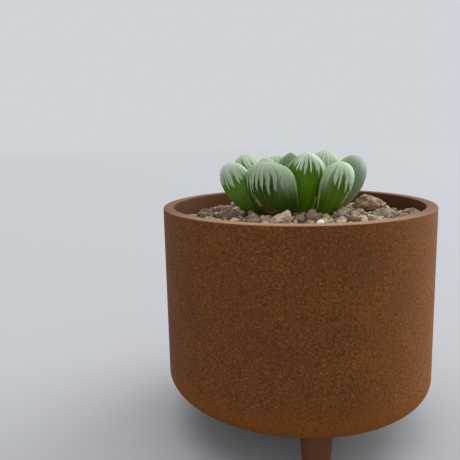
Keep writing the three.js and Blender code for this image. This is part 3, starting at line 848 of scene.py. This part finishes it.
MARKS = {  # the leaf, the points of the line in mm, its radius in mm, the colour and its strength
    "straw_patch": ("outer_1", [(-14.7, -17.2, 87.6), (-13.7, -17.0, 86.0)], 1.0, (146, 144, 84), 0.7),
    "straw_foot": ("outer_1", [(-13.8, -17.0, 86.1), (-13.1, -16.7, 84.9)], 1.15, (186, 180, 112), 0.8),
    "scar": ("outer_1", [(-10.8, -17.0, 83.2), (-8.3, -18.2, 83.3)], 1.0, (112, 74, 20), 0.75),
    "scar_core": ("outer_1", [(-10.4, -17.2, 83.2), (-9.4, -17.8, 83.2)], 0.45, (70, 36, 8), 0.9),
    "scar_lip": (
        "outer_1", [(-11.3, -16.5, 82.9), (-9.6, -16.8, 82.1), (-7.3, -18.1, 82.7)],
        0.35, (168, 148, 98), 0.7,
    ),
    "pressed_arc": (
        "outer_1", [(-16.9, -14.7, 89.2), (-15.0, -18.3, 89.9), (-13.2, -19.7, 89.5)],
        0.2, (112, 144, 100), 0.7,
    ),
    # Painted light: the next two are light shining through thin leaf edges, painted in a bright yellow-green.
    "lit_edge": ("middle_1", [(6.9, -11.6, 86.6), (6.0, -9.5, 82.6)], 1.1, (222, 248, 104), 0.95),
    "lit_margin": ("outer_2", [(7.7, -15.6, 88.2), (6.9, -12.2, 83.0)], 0.6, (214, 240, 110), 0.8),
    "flank_line": (
        "outer_2",
        [
            (19.0, -16.5, 94.5), (18.6, -17.2, 92.5), (17.9, -17.7, 90.5), (16.9, -18.2, 88.9),
            (14.7, -17.5, 85.0),
        ],
        0.4, (170, 194, 140), 0.8,
    ),
}
for leaf, points, radius, tone, strength in MARKS.values():
    tree = leaves[leaf]["skin"].node_tree
    surface = tree.nodes["Principled BSDF"].inputs
    under = surface["Base Color"].links[0].from_socket
    place = node(tree, "TexCoord").outputs["Object"]
    mask = 0.0
    for start, end in zip(points, points[1:]):
        mask = maths(tree, "MAXIMUM", near_line(tree, place, start, end, radius), mask)
    mark = product(tree, mask, strength)
    tree.links.new(blended(tree, mark, under, linear(*tone)), surface["Base Color"])
print("marks:", len(MARKS))

# %% [markdown]
# ## The stem
# Only a glimpse of the stem can be seen between the leaves, so its solid stays. It gets the pale finish of
# old plant tissue.

# %% The stem's material
stem_skin, tree, surface, place = new_material("stem_tissue", Roughness=0.7)
fibres = node(tree, "Mapping", {"Vector": place, "Scale": (1.0, 1.0, 0.2)}).outputs["Vector"]
fibre = speckle(tree, fibres, 900.0, 3.0)
tone = blended(tree, remap(tree, fibre, 0.35, 0.65), linear(112, 104, 62), linear(158, 158, 104))
tree.links.new(tone, surface["Base Color"])
bumped(tree, surface, fibre, 0.4, 0.2 * MM)
stem = frame["nodes"]["stem"]
stem.data.materials.clear()
stem.data.materials.append(stem_skin)
print("stem kept, with", len(stem.data.polygons), "faces")

# %% [markdown]
# ## Soil and grit
# The soil is a gritty mix: a dark bed, with grains of every size heaped on it. The bed is spun like the
# pot and its top is roughened with noise. The grains are small rough lumps with few faces, scattered on a
# jittered grid by a seeded random generator, so that they fall the same way every time. Each one carries a
# tint of its own as an attribute, because real grit is a mix of tan, brown and grey stone.

# %% Spin the bed of soil
WALL = soil_high.x
SOIL_AT_WALL = RIM - 7.2 * MM
MOUND_RADIUS = 14 * MM
BED_ROUGHNESS = 0.9 * MM


def soil_height(radius):
    share = max(0.0, min(1.0, (INNER_RADIUS - radius) / (INNER_RADIUS - MOUND_RADIUS)))
    return SOIL_AT_WALL + (SOIL_AT_PLANT - SOIL_AT_WALL) * share * share * (3 - 2 * share)


BED_SUNK = 0.8 * MM
BED_RINGS, BED_SEGMENTS = 60, 180
ring_radii = [WALL * (1 - i / BED_RINGS) for i in range(BED_RINGS)]
top_rings = [(radius, soil_height(radius) - BED_SUNK) for radius in ring_radii]
bed_corner = arc(WALL - INNER_CORNER, soil_low.z + INNER_CORNER, INNER_CORNER, -90, 0, steps=5)
bed_profile = [(0, soil_low.z), *bed_corner, *top_rings, (0, SOIL_AT_PLANT - BED_SUNK)]
bed = spun("soil_bed", bed_profile, BED_SEGMENTS, closed=False)
for vert in bed.data.vertices:
    from_axis = math.hypot(vert.co.x, vert.co.y)
    if vert.co.z > SOIL_AT_WALL - 2 * MM and from_axis < WALL - 0.5 * MM:
        vert.co.z += BED_ROUGHNESS * noise.fractal(vert.co / (2.5 * MM), 1.0, 2.0, 3)
bed.data.shade_smooth()
print("bed faces:", len(bed.data.polygons))

# %% Scatter the grains
GRAIN_LAYERS = [  # spacing and radii in mm, and how deep the middle of a grain lies, in radii
    {"name": "grit_fine", "spacing": 1.95, "radius": (0.5, 1.1), "sunk": 0.3, "fine": True},
    {"name": "grit_coarse", "spacing": 3.1, "radius": (1.1, 2.4), "sunk": 0.0, "fine": False},
]
CROWN_RADIUS = 10 * MM  # no grain lies inside it
CHIPS = 5
ROW_STEP = 0.87  # of the spacing, for rows that interlock
JITTER = 0.35
FIRST_SEED = 40


def rough_lump(bm, dice, place, radii, fine, tint):
    """A small rough stone: a ball with few faces, pushed in and out at its corners and chipped flat."""
    if fine:
        made = bmesh.ops.create_icosphere(bm, subdivisions=1, radius=1)
    else:
        made = bmesh.ops.create_uvsphere(bm, u_segments=8, v_segments=5, radius=1)
    directions = [Vector([dice.gauss(0, 1) for _ in range(3)]).normalized() for _ in range(CHIPS)]
    chips = [(direction, dice.uniform(0.5, 0.85)) for direction in directions]
    turn = Matrix.Rotation(dice.uniform(0, 2 * math.pi), 3, directions[0])
    tint_layer = bm.verts.layers.float["tint"]
    for vert in made["verts"]:
        corner = vert.co * dice.uniform(0.92, 1.15)
        for direction, depth in chips:
            corner -= direction * max(0.0, corner.dot(direction) - depth)
        vert.co = place + turn @ Vector(a * b for a, b in zip(corner, radii))
        vert[tint_layer] = tint


STONE_NAMES = sorted(name for name in frame["nodes"] if name.startswith("stone_"))
STONE_BOXES = [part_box(name) for name in STONE_NAMES]
UNDER_STONE = 0.75  # of a stone's half length, the part that no grain lies in


def under_a_stone(x, y):
    for low, high in STONE_BOXES:
        across = (x - (low.x + high.x) / 2) / (high.x - low.x) * 2
        deep = (y - (low.y + high.y) / 2) / (high.y - low.y) * 2
        if math.hypot(across, deep) < UNDER_STONE:
            return True
    return False


def has_room(x, y, radius):
    if math.hypot(x, y) + radius * 1.1 > INNER_RADIUS - 0.2 * MM or under_a_stone(x, y):
        return False
    return math.hypot(x - ROSETTE_CENTRE.x, y - ROSETTE_CENTRE.y) > CROWN_RADIUS


def grain_row(layer, row, reach, dice):
    """One row of grains in a bmesh of its own, because the operators slow down as a bmesh grows."""
    bm = bmesh.new()
    bm.verts.layers.float.new("tint")
    spacing = layer["spacing"] * MM
    for column in range(-reach, reach + 1):
        x = (column + 0.5 * (row % 2) + dice.uniform(-JITTER, JITTER)) * spacing
        y = (row * ROW_STEP + dice.uniform(-JITTER, JITTER)) * spacing
        size = dice.uniform(*layer["radius"]) * MM
        radii = [size * dice.uniform(0.8, 1.2) for _ in range(3)]
        tint = dice.random()
        if has_room(x, y, max(radii)):
            z = soil_height(math.hypot(x, y)) + (dice.uniform(-0.5, 0.6) - layer["sunk"]) * size
            rough_lump(bm, dice, Vector((x, y, z)), radii, layer["fine"], tint)
    return mesh_from(bm, "row")


grit_pieces = []
for number, layer in enumerate(GRAIN_LAYERS):
    dice = random.Random(FIRST_SEED + number)
    reach = int(INNER_RADIUS / (layer["spacing"] * MM)) + 2
    bm = bmesh.new()
    for row in range(-reach, reach + 1):
        row_mesh = grain_row(layer, row, reach, dice)
        bm.from_mesh(row_mesh)
        bpy.data.meshes.remove(row_mesh)
    bmesh.ops.recalc_face_normals(bm, faces=bm.faces)
    grit_pieces.append(object_from(bm, layer["name"]))
    print(layer["name"], "faces:", len(grit_pieces[-1].data.polygons))

# %% [markdown]
# ## Loose stones
# The larger stones each start from a copy of their own solid, so that they keep its place and its broken,
# angular form. The copy's faces are merged and split finer, a light smoothing takes the edge off the
# ridges, and two sizes of noise push the skin in and out, which gives the crumbly surface of lava and baked
# clay. The tan one in front is a clean flake, so it gets less of both.

# %% Refine the stones
BROAD_CRUMBLE, FINE_CRUMBLE = 1.7 * MM, 0.5 * MM
USUAL_CRUMBLE = {"smoothing": (0.0, 0.15, 0.4, 0.4), "broad": 0.32, "fine": 0.2}
CRUMBLE = {"stone_tan_peak": {"smoothing": (0.0, 0.0, 0.3, 0.4), "broad": 0.1, "fine": 0.08}}


def refined_stone(name):
    crumble = CRUMBLE.get(name, USUAL_CRUMBLE)
    bm = bmesh.new()
    bm.from_mesh(frame["nodes"][name].data)
    bmesh.ops.remove_doubles(bm, verts=bm.verts, dist=0.02 * MM)
    for factor in crumble["smoothing"]:
        bmesh.ops.subdivide_edges(bm, edges=bm.edges, cuts=1, use_grid_fill=True)
        bmesh.ops.smooth_vert(
            bm, verts=bm.verts, factor=factor, use_axis_x=True, use_axis_y=True, use_axis_z=True
        )
    bm.normal_update()
    for vert in bm.verts:
        broad = noise.fractal(vert.co / BROAD_CRUMBLE, 1.0, 2.0, 3)
        fine = noise.fractal(vert.co / FINE_CRUMBLE, 1.0, 2.0, 2)
        vert.co += vert.normal * (crumble["broad"] * broad + crumble["fine"] * fine) * MM
    stone = object_from(bm, "loose_" + name)
    stone.data.shade_smooth()
    return stone


stones = {name: refined_stone(name) for name in STONE_NAMES}
print("stones:", len(stones), "faces:", sum(len(stone.data.polygons) for stone in stones.values()))

# %% [markdown]
# ## The finish of soil and stones
# Bed, grit and stones share one way of colouring: a stone tone with darker patches, pale dusty specks and
# dark pits from the shared grain group. Each grain of grit picks its tone from a short list by its tint, and
# the bed and the stones have a tone each.

# %% Materials for soil and stones
STONE_TONES = [
    (190, 160, 128), (216, 190, 156), (194, 172, 150), (232, 208, 176), (124, 100, 81), (210, 184, 153),
]


def stone_material(name, tone, size, depth, pitted=1.0):
    """tone is a colour, or None where the grain's own tint picks it."""
    material, tree, surface, place = new_material(name, Roughness=0.92)
    grain = use_group(tree, grain_group, Coordinates=place, Grain_Size=size, Pit_Depth=1.0)
    if tone is None:
        tint = node(tree, "Attribute", attribute_name="tint").outputs["Fac"]
        ramp = node(tree, "ValToRGB", {"Fac": tint})
        ramp.color_ramp.interpolation = "CONSTANT"
        while len(ramp.color_ramp.elements) < len(STONE_TONES):
            ramp.color_ramp.elements.new(0.5)
        for i, (element, colour) in enumerate(zip(ramp.color_ramp.elements, STONE_TONES)):
            element.position = i / len(STONE_TONES)
            element.color = linear(*colour)
        base = ramp.outputs["Color"]
    else:
        base = linear(*tone)
    patches = speckle(tree, place, 350.0, 4.0, 0.65)
    colour = layered(tree, base, [
        (remap(tree, patches, 0.58, 0.34, 0.0, 0.8 * pitted), linear(46, 33, 26)),
        (product(tree, grain["Specks"], 0.45), linear(214, 196, 168)),
        (product(tree, grain["Pits"], 0.8 * pitted), linear(40, 28, 22)),
    ])
    tree.links.new(colour, surface["Base Color"])
    bumped(tree, surface, grain["Height"], 0.7, depth * MM)
    return material


STONE_COLOURS = {
    "stone_tan_peak": (196, 170, 142),
    "stone_dark_small": (136, 114, 97),
    "stone_dark_peak": (150, 126, 106),
    "stone_rough": (164, 143, 122),
    "stone_big": (168, 138, 104),
    "stone_grey": (160, 144, 126),
    "stone_right": (160, 138, 112),
    "stone_left_brown": (146, 122, 96),
}
OTHER_STONES = (150, 128, 106)
CLEAN_FLAKE = 0.35  # the share of patches and pits on the tan stone
# The bed is dark soil, and its dark tone also paints the shade in the gaps between the grains.
finish_piece(bed, stone_material("dark_soil_and_shade_bed", (46, 34, 27), 0.8, 0.5), "soil_grit", "soil")
grit_material = stone_material("mixed_grit", None, 0.7, 0.4)
for piece in grit_pieces:
    finish_piece(piece, grit_material, "soil_grit", "soil")
for name, stone in stones.items():
    tone = STONE_COLOURS.get(name, OTHER_STONES)
    pitted = CLEAN_FLAKE if name == "stone_tan_peak" else 1.0
    finish_piece(stone, stone_material(name + "_skin", tone, 0.6, 0.5, pitted), "loose_stone", name)
print("soil and stone materials:", 2 + len(stones))

# %% [markdown]
# ## The white bead
# A single white grain lies in front of the plant. It is a small, slightly uneven ball with a chalky finish.

# %% Make the bead
bead_low, bead_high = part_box("bead")
bead_radius = (bead_high.z - bead_low.z) / 2
BEAD_UNEVEN, BEAD_BUMPS = 0.05, 0.8 * MM
bm = bmesh.new()
bmesh.ops.create_icosphere(bm, subdivisions=4, radius=bead_radius)
for vert in bm.verts:
    vert.co *= 1 + BEAD_UNEVEN * noise.noise(vert.co / BEAD_BUMPS)
bmesh.ops.translate(bm, verts=bm.verts, vec=(bead_low + bead_high) / 2)
white_grain = object_from(bm, "white_grain")
white_grain.data.shade_smooth()
chalk, tree, surface, place = new_material("chalky_white", Roughness=0.5)
white = blended(tree, speckle(tree, place, 1500.0, 3.0), linear(246, 244, 238), linear(226, 220, 208))
tree.links.new(white, surface["Base Color"])
finish_piece(white_grain, chalk, "bead", "bead")
print("bead radius in mm:", round(bead_radius / MM, 2))
